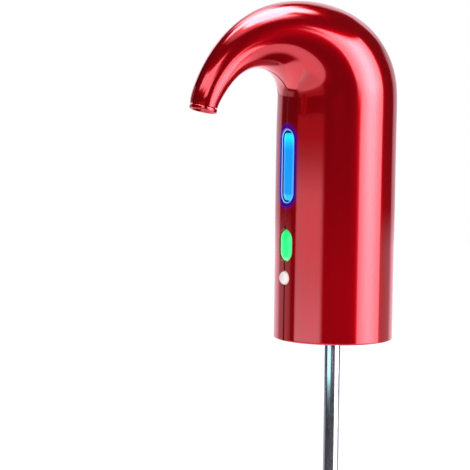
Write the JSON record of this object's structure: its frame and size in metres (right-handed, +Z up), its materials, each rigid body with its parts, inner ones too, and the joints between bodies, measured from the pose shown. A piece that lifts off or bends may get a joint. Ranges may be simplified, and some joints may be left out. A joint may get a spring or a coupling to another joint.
{
  "type": "electric wine aerator",
  "caption": "Hooked battery-powered wine aerator and dispenser with a lit window, a power button, a bottle plug and a telescopic suction tube.",
  "frame": {"origin": "on the body's vertical axis, in the plane of the housing's bottom rim", "axes": "+Z up along the body, -Y towards the spout and the controls, +X to the right half; x = 0 is the seam"},
  "size_m": [0.0588, 0.1132, 0.3215],
  "materials": {
    "red_shell": "candy metallic red, high gloss",
    "black_moulding": "moulded black, fine satin",
    "grey_moulding": "moulded grey, satin",
    "food_plastic": "clear-grey food plastic, smooth",
    "seal_silicone": "dark silicone rubber, matt",
    "stainless_tube": "drawn stainless steel, polished",
    "screw_steel": "zinc-plated steel",
    "motor_steel": "plated can, smooth",
    "cell_wrap": "cell in a blue shrink sleeve",
    "board_laminate": "green solder mask",
    "light_parts": "white light packages",
    "switch_metal": "small plated parts",
    "blue_window": "lit blue translucent lens",
    "green_button": "lit green translucent cap",
    "pale_lens": "white translucent dome",
    "hose": "clear silicone hose"
  },
  "bodies": {
    "body": {"left_housing": "red_shell", "right_housing": "red_shell", "spout_collar": "red_shell", "light_window": "blue_window", "indicator_lens": "pale_lens", "neck_socket": "black_moulding", "bottle_plug": "seal_silicone", "plug_core": "food_plastic", "plug_nut": "food_plastic", "suction_tube": "stainless_tube", "tube_collar": "black_moulding", "chassis": "grey_moulding", "pump_mount": "seal_silicone", "pump_base": "food_plastic", "pump_diaphragm": "seal_silicone", "pump_body": "food_plastic", "motor_can": "motor_steel", "motor_end_cap": "black_moulding", "battery_cell": "cell_wrap", "main_board": "board_laminate", "light_bar": "light_parts", "button_switch": "switch_metal", "indicator_light": "light_parts", "charging_board": "board_laminate", "charging_port": "switch_metal", "aerator_nozzle": "food_plastic", "wine_hose": "hose", "air_hose": "hose", "base_screw_1": "screw_steel", "chassis_screw_1": "screw_steel", "base_screw_2": "screw_steel", "chassis_screw_2": "screw_steel", "base_screw_3": "screw_steel", "chassis_screw_3": "screw_steel", "base_screw_4": "screw_steel", "chassis_screw_4": "screw_steel"},
    "power_button": {"power_button": "green_button"},
    "extension": {"extension_tube": "stainless_tube", "tube_foot": "black_moulding"},
    "rotor": {"motor_shaft": "screw_steel", "eccentric": "food_plastic"}
  },
  "joints": [
    {"name": "button_press", "type": "slide", "parent": "body", "child": "power_button", "axis": [0, 1, 0], "range_m": [0, 0.0008], "stiffness_N_per_m": 1200, "springref_m": -0.0005},
    {"name": "tube_extend", "type": "slide", "parent": "body", "child": "extension", "axis": [0, 0, -1], "range_m": [0, 0.11]},
    {"name": "motor_spin", "type": "hinge", "parent": "body", "child": "rotor", "pos_m": [0, -0.0075, 0.09], "axis": [0, 0, 1], "continuous": true}
  ]
}
